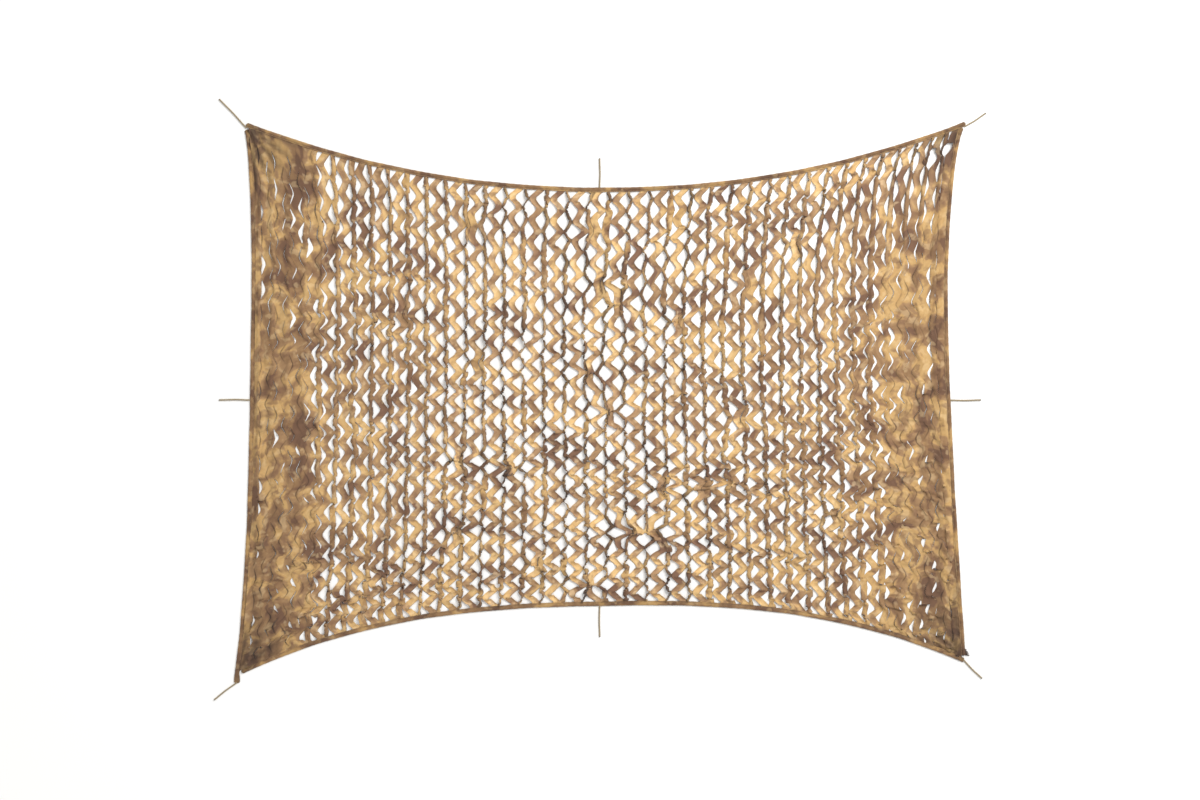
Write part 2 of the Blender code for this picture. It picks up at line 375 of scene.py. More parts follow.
def camouflage(tree, place, shift):
    """The printed pattern's colour over a place in metres: four dyes in soft-edged patches."""
    moved = add(tree, "ShaderNodeMapping", {"Location": shift}, {"Vector": place})
    # Patches are 40 to 90 mm long and lie a little flat
    big = add(
        tree,
        "ShaderNodeTexNoise",
        {"Scale": 11.0, "Detail": 3.0, "Roughness": 0.55, "Distortion": 0.6},
        {"Vector": moved.outputs["Vector"]},
    )
    patches = add(tree, "ShaderNodeValToRGB", {}, {"Fac": big.outputs["Fac"]})
    ramp = patches.color_ramp
    ramp.interpolation = "EASE"
    dyes = [
        (0.00, "#533824"),
        (0.38, "#684932"),
        (0.43, "#85633f"),
        (0.50, "#93704a"),
        (0.55, "#b38c55"),
        (0.62, "#b8935c"),
        (0.67, "#8f6d47"),
        (1.00, "#77583a"),
    ]
    ramp.elements[0].position, ramp.elements[0].color = dyes[0][0], linear(dyes[0][1])
    ramp.elements[1].position, ramp.elements[1].color = dyes[-1][0], linear(dyes[-1][1])
    for position, dye in dyes[1:-1]:
        ramp.elements.new(position).color = linear(dye)
    # Brush-like streaks of the darkest dye, 15 to 30 mm
    small = add(
        tree,
        "ShaderNodeTexNoise",
        {"Scale": 34.0, "Detail": 2.0, "Roughness": 0.5, "Distortion": 0.2},
        {"Vector": moved.outputs["Vector"]},
    )
    streak = add(
        tree,
        "ShaderNodeMapRange",
        {"From Min": 0.54, "From Max": 0.64, "To Min": 0.0, "To Max": 0.55},
        {"Value": small.outputs["Fac"]},
    )
    dark = add(
        tree,
        "ShaderNodeMix",
        {"data_type": "RGBA", 7: linear("#6e4d35")},
        {0: streak.outputs["Result"], 6: patches.outputs["Color"]},
    )
    pale = add(
        tree,
        "ShaderNodeMapRange",
        {"From Min": 0.44, "From Max": 0.36, "To Min": 0.0, "To Max": 0.30},
        {"Value": small.outputs["Fac"]},
    )
    return add(
        tree,
        "ShaderNodeMix",
        {"data_type": "RGBA", 7: linear("#d6b684")},
        {0: pale.outputs["Result"], 6: dark.outputs[2]},
    ).outputs[2]


def tape_material():
    """Printed polyester twill tape: matt, with fine slanted ribs, one row of stitches and painted
    shade in its creases.
    """
    material = bpy.data.materials.new("printed_polyester_twill_tape")
    material.use_nodes = True
    tree = material.node_tree
    shader = tree.nodes["Principled BSDF"]
    shader.inputs["Roughness"].default_value = 0.8
    shader.inputs["Sheen Weight"].default_value = 0.3
    place = add(tree, "ShaderNodeUVMap", {"uv_map": "tape"})
    print_colour = camouflage(tree, place.outputs["UV"], (3.1, 0.4, 0.0))
    apart = add(tree, "ShaderNodeSeparateXYZ", {}, {"Vector": place.outputs["UV"]})
    # Stitches are 3 mm long with a 1 mm gap, in a row by the open side
    beat = add(
        tree,
        "ShaderNodeMath",
        {"operation": "PINGPONG", 1: 0.002},
        {0: apart.outputs["X"]},
    )
    dash = add(
        tree,
        "ShaderNodeMath",
        {"operation": "GREATER_THAN", 1: 0.0005},
        {0: beat.outputs["Value"]},
    )
    row = add(
        tree,
        "ShaderNodeMath",
        {"operation": "COMPARE", 1: STITCH_INSET + 0.002, 2: 0.0005},
        {0: apart.outputs["Y"]},
    )
    thread = add(
        tree,
        "ShaderNodeMath",
        {"operation": "MULTIPLY"},
        {0: dash.outputs["Value"], 1: row.outputs["Value"]},
    )
    # Painted shade: darker in the stitches' groove, at the open side, in puckers, where the tape
    # sways, near its ends and on loose yarns
    crease = add(tree, "ShaderNodeAttribute", {"attribute_name": "crease"})
    worn = add(
        tree,
        "ShaderNodeMix",
        {"data_type": "RGBA", 0: 0.08, 7: linear("#5a4230")},
        {6: print_colour},
    )
    shaded = add(
        tree,
        "ShaderNodeMix",
        {"data_type": "RGBA", 7: linear("#3f2c1e")},
        {0: crease.outputs["Fac"], 6: worn.outputs[2]},
    )
    sewn = add(
        tree,
        "ShaderNodeMix",
        {"data_type": "RGBA", 7: linear("#a98b60")},
        {0: thread.outputs["Value"], 6: shaded.outputs[2]},
    )
    # Twill ribs are 0.4 mm apart; they are drawn at 1.2 mm so that they show
    ribs = add(
        tree,
        "ShaderNodeTexWave",
        {"wave_type": "BANDS", "bands_direction": "DIAGONAL", "Scale": 260.0, "Distortion": 0.5},
        {"Vector": place.outputs["UV"]},
    )
    bump = add(
        tree,
        "ShaderNodeBump",
        {"Strength": 0.35, "Distance": 0.0003},
        {"Height": ribs.outputs["Fac"]},
    )
    tree.links.new(sewn.outputs[2], shader.inputs["Base Color"])
    tree.links.new(bump.outputs["Normal"], shader.inputs["Normal"])
    return material


def make_tape(name, material, phase, start_end, stop_end, frays=0):
    """The tape's section drawn along its edge, puckered, with its two cut ends shaped."""
    first, second, _, _, _, start, stop = EDGES[name]
    span = float(np.linalg.norm(np.subtract(CORNERS[second], CORNERS[first])))
    count = round(span / TAPE_STEP)
    line = edge_points(name, np.linspace(start / span, 1 - stop / span, count + 1))
    normals = inward_normals(line)
    gone = np.concatenate([[0.0], np.cumsum(np.linalg.norm(np.diff(line, axis=0), axis=1))])
    mesh = bmesh.new()
    tape_shade_layer = mesh.verts.layers.float.new("crease")
    along_layer = mesh.verts.layers.float.new("along")
    across_layer = mesh.verts.layers.float.new("across")
    sides = len(TAPE_SECTION)
    ring = bmesh.ops.create_circle(mesh, cap_ends=False, segments=sides, radius=1.0)["verts"]
    edges = list(mesh.edges)

    def end_shape(distance, shape):
        """(width share, height share) near a cut end."""
        reach, wide, low, round_over = shape
        near = max(0.0, 1 - distance / reach)
        rounding = max(0.0, 1 - distance / round_over)
        share = math.sqrt(max(0.0, 1 - rounding**2)) * 0.75 + 0.25
        return (1 + (wide - 1) * near**1.5) * share, 1 + (low - 1) * near**2

    def put(ring, i):
        s = gone[i]
        uneven = 1.7 * math.sin(s * 23 + phase)
        pull = math.sin(2 * math.pi * s / PUCKER_PITCH + phase + uneven)
        slow = math.sin(s * 31 + 2 * phase) * math.sin(s * 11.7 + phase)
        wide = 1.0 - PUCKER_WIDTH * (1 + pull) - SWAY_WIDTH * abs(slow)
        tall = 1.0 - PUCKER_HEIGHT * (1 - pull) - SWAY_HEIGHT * abs(slow)
        for distance, shape in ((s, start_end), (gone[-1] - s, stop_end)):
            more, less = end_shape(distance, shape)
            wide *= more
            tall *= less
        shift = SWAY_SHIFT * slow
        run = 0.0
        last = None
        for j, vert in enumerate(ring):
            side, height = TAPE_SECTION[j]
            out = side * TAPE_WIDTH / 2 * wide + shift
            up = TAPE_HEIGHT * height * (tall if height > 0.2 else 1.0)
            if 2 <= j <= 5:
                up += PUCKER_RIDGE * pull
            place = line[i] + normals[i] * out
            vert.co = (place[0], place[1], min(up + TAPE_LIFT, TAPE_HEIGHT))
            here = (side * TAPE_WIDTH / 2, height * TAPE_HEIGHT)
            run += 0.0 if last is None else math.dist(here, last)
            last = here
            vert[along_layer] = s
            vert[across_layer] = run
            # Painted shade in the stitches' groove, at the open side, in puckers, where the tape
            # sways and near its cut ends
            dip = OPEN_SIDE_SHADE if j in OPEN_SIDE_AT else 0.0
            if j == GROOVE_AT:
                dip = GROOVE_SHADE
            dip += PUCKER_SHADE * max(0.0, -pull) * (2 <= j <= 6) + SWAY_SHADE * abs(slow)
            from_end = min(s, gone[-1] - s)
            dip += TAPE_END_SHADE * math.exp(-((from_end / TAPE_END_REACH) ** 2))
            vert[tape_shade_layer] = min(DARKEST, dip)

    put(ring, 0)
    bmesh.ops.contextual_create(mesh, geom=list(mesh.edges))
    for i in range(1, count + 1):
        made = bmesh.ops.extrude_edge_only(mesh, edges=edges)["geom"]
        fresh = [g for g in made if isinstance(g, bmesh.types.BMVert)]
        held = set(fresh)
        edges = [
            g
            for g in made
            if isinstance(g, bmesh.types.BMEdge) and g.verts[0] in held and g.verts[1] in held
        ]
        put(fresh, i)
    bmesh.ops.contextual_create(mesh, geom=edges)
    for i in range(frays):
        # Loose yarns at the raw end
        out = Vector((*(line[-1] - line[-4]), 0.0)).normalized()
        out.rotate(Matrix.Rotation(math.radians(74 + 7 * math.sin(2.4 * i)), 3, "Z"))
        back = i % YARN_ROWS
        long = YARN_LENGTH - 0.0015 * back + 0.0020 * math.sin(1.9 * i)
        root = Vector((*line[-2 - back], 0.0012 + 0.00035 * (i % 7))) - out * 0.001
        aim = out.to_track_quat("Z", "Y").to_matrix().to_4x4()
        yarn = bmesh.ops.create_cone(
            mesh,
            cap_ends=True,
            segments=6,
            radius1=YARN_RADII[0],
            radius2=YARN_RADII[1],
            depth=long,
            matrix=Matrix.Translation(root + out * (YARN_OUT + long / 2)) @ aim,
        )["verts"]
        for vert in yarn:
            # Painted shade on the loose yarns
            vert[tape_shade_layer] = YARN_SHADE
            vert[along_layer] = gone[-1]
    bmesh.ops.recalc_face_normals(mesh, faces=mesh.faces)
    uv = mesh.loops.layers.uv.new("tape")
    for face in mesh.faces:
        values = [loop.vert[across_layer] for loop in face.loops]
        wraps = max(values) - min(values) > SECTION_SEAM and len(face.verts) == 4
        for loop in face.loops:
            across = loop.vert[across_layer]
            if wraps and across < 0.01:
                across += SECTION_ROUND
            loop[uv].uv = (loop.vert[along_layer], across)
    return finish_piece("tape_" + name, mesh, material, "binding_tape", "binding_" + name)


tape_fabric = tape_material()
# Ends: (reach in metres, width share, height share, rounding). The tapes' ends are cut square;
# the left one ends below in a flat, rounded tail, and the right one's lower end is frayed.
tapes = [
    make_tape("top", tape_fabric, 0.3, (0.010, 1.05, 0.9, 0.001), (0.014, 1.12, 0.8, 0.001)),
    make_tape("bottom", tape_fabric, 2.1, (0.008, 0.95, 0.9, 0.001), (0.012, 1.02, 0.7, 0.003)),
    make_tape("left", tape_fabric, 4.4, (0.016, 1.25, 0.55, 0.001), (0.034, 1.50, 0.6, 0.006)),
    make_tape("right", tape_fabric, 5.6, (0.030, 1.15, 0.9, 0.001), (0.014, 1.20, 0.7, 0.001), 30),
]


# --- Slit cloth ----------------------------------------------------------------------
# One printed polyester cloth, cut with short slits along wavy lines and drawn open
# sideways. Every second strip is pulled taut into a zigzag; those between stay slack and
# stand up in a narrow pleat. Beside the left and right edges many slits stay shut.
PAIRS = 38  # of a slack and a taut strip
SLITS = 22
STRIP = 0.0230  # between two slit lines
PERIOD = 0.0670  # one wave of a slit line
WAVE = 0.0080  # how far a slit line swings to each side
WAVE_SOFT = 0.92  # 1 would give sharp zigzags
ACROSS = 4  # faces across a strip and along a wave
ALONG = 10
SHUT_SHARE = 0.03  # of the slits away from the sides
SIDE_LINES = 9  # slit lines nearer to a side than this have many shut slits,
SIDE_SHUT = (0.72, 0.50)  # with these shares on the left and the right,
OPEN_ROWS = 5  # but not in the right side's top rows
SHUT_CRACK = (-0.0015, 0.0022)  # between the lips of a shut slit; below 0 they overlap
SHUT_LIFT = 0.0018  # how far its upper lip rides up
# Painted shade along the lips of a shut slit
SHUT_RIM_SHADE = (0.35, 1.0)  # how dark its lips are
TUCK = 0.0015  # how far the cloth goes into the bindings
CLOTH_LOW = 0.0007
CLOTH_HIGH = 0.0160
CLOTH_REST = 0.0020  # a taut strip's height
EDGE_REST = 0.0024  # the border's, in the bindings
# Slits pulled wide near the corners: (x, y, width, length)
PULLED = [
    (0.9540, 0.7020, 0.033, 0.036),
    (0.9320, 0.6680, 0.022, 0.040),
    (0.9140, 0.7000, 0.014, 0.034),
    (0.9700, 0.7330, 0.007, 0.030),
    (0.8900, 0.6800, 0.010, 0.034),
    (-0.9560, -0.6770, 0.006, 0.022),
    (-0.9300, -0.6900, 0.006, 0.024),
    (-0.9500, 0.7250, 0.004, 0.008),
    (0.9600, -0.6600, 0.005, 0.012),
]
# Folds that fan out of the corners: (height, reach, folds, phase)
FANS = {
    "top_left": (0.0065, 0.150, 6, 0.4),
    "top_right": (0.0035, 0.070, 4, 1.9),
    "bottom_left": (0.0060, 0.120, 5, 2.6),
    "bottom_right": (0.0060, 0.120, 5, 1.1),
}
# Painted shade in the fans' hollows and round each corner
FAN_SHADE = 0.75
CORNER_SHADE = 0.60  # painted shade on the gathered cloth all round a corner
CORNER_REACH = 0.140
RIM_SHADE = 0.85  # along a taut strip's cut edges, and a slack strip's
SLACK_RIM_SHADE = 0.45
SIDES_AT = (0.97, 0.98)  # the left and right sides, from the middle
SIDE_FOLD_REACH = 0.100
SIDE_FOLD_PITCH = 0.047
SIDE_FOLD_HEIGHT = 0.0035
SIDE_FOLD_SHADE = 0.45
CREASE_PITCH = 0.0175  # short creases between the long folds
CREASE_HEIGHT = 0.0016
CREASE_SHADE = 0.55
# How far the slits are drawn open across the net: (share of its width, opening)
OPENING = [
    (0.00, 0.00),
    (0.06, 0.02),
    (0.10, 0.36),
    (0.17, 0.48),
    (0.24, 0.66),
    (0.32, 0.68),
    (0.42, 0.78),
    (0.50, 0.94),
    (0.60, 0.78),
    (0.67, 0.52),
    (0.80, 0.55),
    (0.87, 0.38),
    (0.92, 0.12),
    (1.00, 0.00),
]
# The top right corner is drawn wider open: place and reach as shares of the net, and gain
WIDE_AT = (0.94, 0.95)
WIDE_REACH = (0.06, 0.09)
WIDE_GAIN = 0.75
MOST_OPEN = 1.15
PITCH_SIDE = 0.040  # of a pair of strips beside the sides, and what it gains in the middle
PITCH_GAIN = 0.0165
ROW_BOW = 0.035  # how far the rows sag from even, as a share of the height
EASE_ROWS = 12  # how soon the drift fades in from the top and bottom, and from the sides
EASE_LINES = 16
TAUT_CURL = 0.16  # share of a taut strip's width that its curled edges take, fully drawn
CURL_HEIGHT = 0.022  # how high those edges stand
PLEAT = 0.0034  # a slack strip's pleat seen from above
PLEAT_ONSET = 0.65  # below 1, a pleat forms early as the net opens
PLEAT_CREST = (0.85, 0.25)  # its height's mean and variation
# Painted shade inside the pleats
NARROW_FROM = 0.45  # a pleat is dark inside where the net is open wider than this
NARROW_OVER = 0.45
SETTLE_STEPS = 160

strips = 2 * PAIRS
rows = SLITS * ALONG
rng = np.random.default_rng(7)
strip_no = np.arange(strips)[:, None, None]
column_no = np.arange(ACROSS + 1)[None, :, None]
row_no = np.arange(rows + 1)[None, None, :]
turn = 2 * math.pi * (row_no - 0.5) / ALONG
wave = np.arcsin(WAVE_SOFT * np.cos(turn)) / math.asin(WAVE_SOFT)

# Flat, as cut
line_no = strip_no + column_no / ACROSS
edge_share = np.minimum(np.minimum(line_no, strips - line_no), 1.0)
flat = np.zeros((strips, ACROSS + 1, rows + 1, 3))
flat[..., 0] = line_no * STRIP + WAVE * wave * edge_share
flat[..., 1] = row_no * PERIOD / ALONG

# Where neighbouring strips hold together: a short bridge at every second apex, and slits
# that stayed shut
joined = np.zeros((strips - 1, rows + 1), bool)
shut = []
for line in range(1, strips):
    bridge = ALONG // 2 if line % 2 else 0
    for slit in range(-1, SLITS + 1):
        low = slit * ALONG + bridge
        for row in (low, low + 1):
            if 0 <= row <= rows:
                joined[line - 1, row] = True
        beside = line < SIDE_LINES or line > strips - SIDE_LINES
        chance = SIDE_SHUT[int(line > PAIRS)] if beside else SHUT_SHARE
        if line > PAIRS and slit > SLITS - OPEN_ROWS:
            chance = SHUT_SHARE
        if rng.random() < chance:
            joined[line - 1, max(0, low) : max(0, min(rows, low + ALONG)) + 1] = True
            if 0 <= low < rows - ALONG:
                shut.append((line, low))


def crossing(a, b):
    """Where two lines of points cross, as shares along each."""
    for i in range(len(a) - 1):
        p, r = a[i], a[i + 1] - a[i]
        q, s = b[:-1], b[1:] - b[:-1]
        cross = r[0] * s[:, 1] - r[1] * s[:, 0]
        cross = np.where(np.abs(cross) < 1e-12, 1e-12, cross)
        t = ((q[:, 0] - p[0]) * s[:, 1] - (q[:, 1] - p[1]) * s[:, 0]) / cross
        w = ((q[:, 0] - p[0]) * r[1] - (q[:, 1] - p[1]) * r[0]) / cross
        hits = np.nonzero((t >= 0) & (t <= 1) & (w >= 0) & (w <= 1))[0]
        if len(hits):
            return (i + t[hits[0]]) / (len(a) - 1), (hits[0] + w[hits[0]]) / (len(b) - 1)
    raise ValueError("the cloth's edges don't meet")


borders = {}
for name in EDGES:
    line = edge_points(name, np.linspace(-0.002, 1.002, 400))
    borders[name] = line + inward_normals(line) * (TAPE_WIDTH / 2 - TUCK)
top_a, left_a = crossing(borders["top"], borders["left"])
top_b, right_a = crossing(borders["top"], borders["right"])
bottom_a, left_b = crossing(borders["bottom"], borders["left"])
bottom_b, right_b = crossing(borders["bottom"], borders["right"])


def read_border(name, low, high, share):
    """Points of a border at shares between two of its own."""
    at = (low + (high - low) * share) * (len(borders[name]) - 1)
    steps = np.arange(len(borders[name]))
    return np.stack([np.interp(at, steps, borders[name][:, i]) for i in (0, 1)], axis=-1)


def plan(u, v):
    """The cloth's place in plan, u across and v up from 0 to 1."""
    top = read_border("top", top_a, top_b, u)
    bottom = read_border("bottom", bottom_a, bottom_b, u)
    left = read_border("left", left_b, left_a, v)
    right = read_border("right", right_b, right_a, v)
    u, v = u[..., None], v[..., None]
    corners = [
        ((1 - u) * (1 - v), read_border("bottom", bottom_a, bottom_b, np.array(0.0))),
        (u * (1 - v), read_border("bottom", bottom_a, bottom_b, np.array(1.0))),
        ((1 - u) * v, read_border("top", top_a, top_b, np.array(0.0))),
        (u * v, read_border("top", top_a, top_b, np.array(1.0))),
    ]
    blend = (1 - v) * bottom + v * top + (1 - u) * left + u * right
    return blend - sum(w * c for w, c in corners)


def wander(strips_apart, rows_apart, size):
    """A smooth random field over the strips and rows, with that typical size."""
    wide = strips // strips_apart + 2
    long = rows // rows_apart + 2
    coarse = rng.standard_normal((wide, long)) * size
    rows_at = np.arange(rows + 1) / rows_apart
    lined = np.stack([np.interp(rows_at, np.arange(long), line) for line in coarse])
    strips_at = np.arange(strips) / strips_apart
    field = np.stack([np.interp(strips_at, np.arange(wide), lined[:, i]) for i in range(rows + 1)])
    return field.T[:, None, :]


# Drawn open: where each strip's middle goes, and how wide and long the pattern is there
steps = np.linspace(0, 1, 801)
density = 1 / (PITCH_SIDE + PITCH_GAIN * np.sin(math.pi * steps) ** 0.8)
crowd = np.concatenate([[0.0], np.cumsum((density[1:] + density[:-1]) / 2)])
crowd /= crowd[-1]
middle_u = np.interp((strip_no + 0.5) / strips, crowd, steps) + 0 * row_no
middle_v = row_no / rows - ROW_BOW * np.sin(math.pi * row_no / rows) + 0 * strip_no
# The cloth was not drawn evenly: rows and lines drift a little from true
ease = np.clip(EASE_ROWS * np.minimum(middle_v, 1 - middle_v), 0, 1)
ease = ease * np.clip(EASE_LINES * np.minimum(middle_u, 1 - middle_u), 0, 1)
middle_v = middle_v + ease * (wander(3, 12, 0.0048) + wander(14, 45, 0.0085))
low_u = np.interp(strip_no / strips, crowd, steps) + 0 * row_no
high_u = np.interp((strip_no + 1) / strips, crowd, steps) + 0 * row_no
middle = plan(middle_u, middle_v)
breadth = plan(high_u, middle_v) - plan(low_u, middle_v)
pitch = 2 * np.linalg.norm(breadth, axis=-1)
sideways = breadth / np.linalg.norm(breadth, axis=-1)[..., None]
rise = np.gradient(middle, axis=2)
period = ALONG * np.linalg.norm(rise, axis=-1)
opening = np.interp(middle_u, [o[0] for o in OPENING], [o[1] for o in OPENING])
opening = opening * (1.0 + wander(1, 8, 0.28) + wander(3, 13, 0.14) + wander(2, 40, 0.10))
away = ((middle_u - WIDE_AT[0]) / WIDE_REACH[0]) ** 2
away = away + ((middle_v - WIDE_AT[1]) / WIDE_REACH[1]) ** 2
opening = opening + WIDE_GAIN * np.exp(-away)
opening = np.clip(opening, 0.0, MOST_OPEN)
middle = middle + (ease * wander(3, 8, 0.0042))[..., None] * sideways
leg = math.hypot(2 * WAVE, PERIOD / 2)
reach = np.sqrt(np.maximum(leg**2 - (period / 2) ** 2, (0.8 * WAVE) ** 2))  # twice the wave
taut_width = STRIP * (1.0 - TAUT_CURL * opening)
slack_width = np.maximum(pitch - reach - taut_width, 0.002)
share = column_no / ACROSS
is_slack = strip_no % 2 == 0

taut_x = reach / 2 * wave + (share - 0.5) * taut_width
pleated = np.minimum(opening, 1) ** PLEAT_ONSET
swing = pleated * np.maximum(slack_width - PLEAT, 0) - (1 - pleated) * reach
slack_left = -slack_width / 2 + swing * (1 - wave) / 2
slack_right = slack_width / 2 - swing * (1 + wave) / 2
slack_x = slack_left + (slack_right - slack_left) * share
tent = 1 - np.abs(2 * share - 1)
fold = np.sqrt(np.maximum((STRIP / 2) ** 2 - ((slack_right - slack_left) / 2) ** 2, 0))
phase = rng.uniform(0, 2 * math.pi, (strips, 1, 1))
slack_x = slack_x + 0.0015 * opening * tent * np.sin(turn + 0.6 * phase)
crest = PLEAT_CREST[0] + PLEAT_CREST[1] * np.sin(turn / 2 + phase)

drawn = np.zeros_like(flat)
offset = np.where(is_slack, slack_x, taut_x)
drawn[..., :2] = middle + offset[..., None] * sideways
flutter = 0.0012 * np.sin(turn * 0.5 + 2 * phase) * (share - 0.5) * 2
curl = TAUT_CURL * opening * CURL_HEIGHT * (2 * share - 1) ** 2
relief = np.clip(0.25 + opening, 0, 1)
drawn[..., 2] = CLOTH_REST + np.where(is_slack, fold * tent * crest * relief, flutter + curl)
drawn[..., 2] += 0.0004 * rng.standard_normal(drawn.shape[:3])
side_v = np.arange(rows + 1) / rows
side_v = side_v - ROW_BOW * np.sin(math.pi * side_v)
drawn[0, 0, :, :2] = plan(np.zeros(rows + 1), side_v)
drawn[-1, ACROSS, :, :2] = plan(np.ones(rows + 1), side_v)
drawn[0, 0, :, 2] = drawn[-1, ACROSS, :, 2] = EDGE_REST
for row in (0, rows):
    drawn[:, :, row, 2] = EDGE_REST
held = drawn.copy()

# Painted shade: how dark the inside of each pleat is
depth = np.clip(0.62 + wander(1, 6, 0.50), 0.05, 1.3)

# Settle: each short run of cloth goes back to its cut length, the taut strips firmly and
# the slack ones only against stretching, while the border stays in the bindings
ALL = slice(None)
TAUT = slice(1, None, 2)
SLACK = slice(0, None, 2)
pulls = []
for which, firm, squeeze in ((TAUT, 1.0, 0.8), (SLACK, 0.8, 0.12)):
    for start in (0, 1):
        a = (which, ALL, slice(start, rows, 2))
        b = (which, ALL, slice(start + 1, rows + 1, 2))
        pulls.append((a, b, firm, squeeze))
    for start in (0, 1):
        a = (which, slice(start, ACROSS, 2))
        b = (which, slice(start + 1, ACROSS + 1, 2))
        pulls.append((a, b, firm, squeeze))
    for column in range(ACROSS):
        for start in (0, 1):
            low, high = slice(start, rows, 2), slice(start + 1, rows + 1, 2)
            pulls.append(((which, column, low), (which, column + 1, high), 0.12, squeeze))
            pulls.append(((which, column + 1, low), (which, column, high), 0.12, squeeze))
pulls = [
    (a, b, np.linalg.norm(flat[b] - flat[a], axis=-1), firm, squeeze)
    for a, b, firm, squeeze in pulls
]
# The curl of a taut strip's cut edges and the pleat of a slack one
pulls.append(((TAUT, 0), (TAUT, ACROSS), taut_width[TAUT, 0], 0.5, 1.0))
pleat = (slack_right - slack_left)[SLACK, 0]
pulls.append(((SLACK, 0), (SLACK, ACROSS), pleat, 0.8, 1.0))
before = drawn.copy()
for _ in range(SETTLE_STEPS):
    motion = drawn - before
    before = drawn.copy()
    drawn += 0.8 * motion
    drawn[1::2, :, :, 2] -= 0.00001
    for a, b, length, firm, squeeze in pulls:
        run = drawn[b] - drawn[a]
        now = np.sqrt((run * run).sum(axis=-1)) + 1e-9
        error = (now - length) / now
        error = np.where(error < 0, error * squeeze, error)
        run *= (0.5 * firm * error)[..., None]
        drawn[a] += run
        drawn[b] -= run
    left_side, right_side = drawn[:-1, ACROSS], drawn[1:, 0]
    shared = (left_side + right_side) / 2
    left_side[joined] = shared[joined]
    right_side[joined] = shared[joined]
    np.clip(drawn[..., 2], CLOTH_LOW, CLOTH_HIGH, out=drawn[..., 2])
    drawn[:, :, (0, -1)] = held[:, :, (0, -1)]
    drawn[0, 0], drawn[-1, ACROSS] = held[0, 0], held[-1, ACROSS]

# The slits that stayed shut: one lip rides up on the other, or a crack is left between them, and
# both lips get a painted line of shade
rim = np.zeros(drawn.shape[:3])
gap = np.zeros((strips - 1, rows + 1), bool)
for line, low in shut:
    crack = np.arange(low + 2, low + ALONG)
    bow = np.sin(math.pi * (crack - low - 1) / ALONG)
    open_by = rng.uniform(*SHUT_CRACK) * bow
    gap[line - 1, crack[0] - 1 : crack[-1] + 2] = True
    drawn[line - 1, ACROSS, crack, 0] -= open_by / 2
    drawn[line, 0, crack, 0] += open_by / 2
    drawn[line - 1, ACROSS, crack, 2] += SHUT_LIFT * bow
    # Painted shade along the lips of a shut slit
    rim[line - 1, ACROSS, crack] = rim[line, 0, crack] = rng.uniform(*SHUT_RIM_SHADE) * bow

# Near the corners some slits are pulled wide, and the strips on both sides fold back
for x, y, wide, long in PULLED:
    best = None
    for line in range(1, strips):
        for low in range(ALONG // 2 if line % 2 else 0, rows - ALONG, ALONG):
            middle_row = low + 1 + ALONG // 2
            if not joined[line - 1, middle_row]:
                away = math.dist(drawn[line, 0, middle_row, :2], (x, y))
                if best is None or away < best[0]:
                    best = (away, line, low)
    _, line, low = best
    torn = np.arange(low + 2, low + ALONG)
    along_slit = (drawn[line, 0, torn, 1] - y) / (long / 2)
    gape = wide / 2 * np.maximum(1 - along_slit**2, 0) ** 0.6
    for column in range(ACROSS + 1):
        for strip, hold, way in ((line - 1, column / ACROSS, -1), (line, 1 - column / ACROSS, 1)):
            shift = sideways[strip, 0, torn] * (way * hold * gape)[:, None]
            drawn[strip, column, torn, :2] += shift
            drawn[strip, column, torn, 2] += 0.2 * hold * gape

# Folds that fan out of the corners, with painted shade in their hollows and all round each corner
painted_fold_shade = np.zeros(drawn.shape[:3])
for corner, (tall, fan_reach, folds, start) in FANS.items():
    run = drawn[..., :2] - np.array(CORNERS[corner])
    far = np.linalg.norm(run, axis=-1)
    bearing = np.arctan2(np.abs(run[..., 1]), np.abs(run[..., 0]))
    ridge = np.sin(4 * folds * bearing + start + 9 * far)
    fade = np.exp(-((far / fan_reach) ** 2)) * np.clip(far / 0.02, 0, 1)
    inside = np.clip(np.minimum(bearing, math.pi / 2 - bearing) * 8, 0, 1)
    drawn[..., 2] += tall * np.maximum(ridge, 0) * fade * inside
    hollow = FAN_SHADE * np.maximum(-ridge + 0.25, 0) * fade
    painted_fold_shade += hollow + CORNER_SHADE * np.exp(-((far / CORNER_REACH) ** 2))

# Long soft folds down the two nearly shut sides, with painted shade in their valleys
x_at, y_at = drawn[..., 0], drawn[..., 1]
from_side = np.minimum(x_at + SIDES_AT[0], SIDES_AT[1] - x_at)
beside = np.exp(-((from_side / SIDE_FOLD_REACH) ** 2))
swerve = 1.3 * np.sin(3.1 * y_at + 0.7) + 0.8 * np.sin(7.7 * y_at)
ridge = np.sin(2 * math.pi * x_at / SIDE_FOLD_PITCH + swerve)
drawn[..., 2] += SIDE_FOLD_HEIGHT * np.maximum(ridge, 0) * beside
painted_fold_shade += SIDE_FOLD_SHADE * np.maximum(-ridge - 0.2, 0) * beside
# and short creases between them, in patches, with painted shade in their hollows
patchy = np.sin(41 * y_at + 23 * x_at) * np.sin(29 * y_at - 57 * x_at + 1.0)
swerve = 2.2 * np.sin(17 * y_at)
crease = np.sin(2 * math.pi * x_at / CREASE_PITCH + swerve + 3 * patchy)
patchy = np.clip(0.4 + 1.2 * patchy, 0, 1) * beside
drawn[..., 2] += CREASE_HEIGHT * crease * patchy
painted_fold_shade += CREASE_SHADE * np.maximum(-crease - 0.2, 0) * patchy
np.clip(drawn[..., 2], CLOTH_LOW, CLOTH_HIGH, out=drawn[..., 2])

# The cut edges that face down the net are in shade, and so are both edges of a pleat
slope = np.gradient(wave[0, 0])
slope = slope / np.abs(slope).max()
is_open = np.clip(opening[:, 0] * 2, 0, 1)
for column, way in ((0, -1), (ACROSS, 1)):
    shaded = RIM_SHADE * np.maximum(way * slope, 0) * is_open[TAUT]
    rim[TAUT, column] = np.maximum(rim[TAUT, column], shaded)
for column in (0, ACROSS):
    rim[SLACK, column] = np.maximum(rim[SLACK, column], SLACK_RIM_SHADE * is_open[SLACK])
narrow = np.clip((opening - NARROW_FROM) / NARROW_OVER, 0, 1)

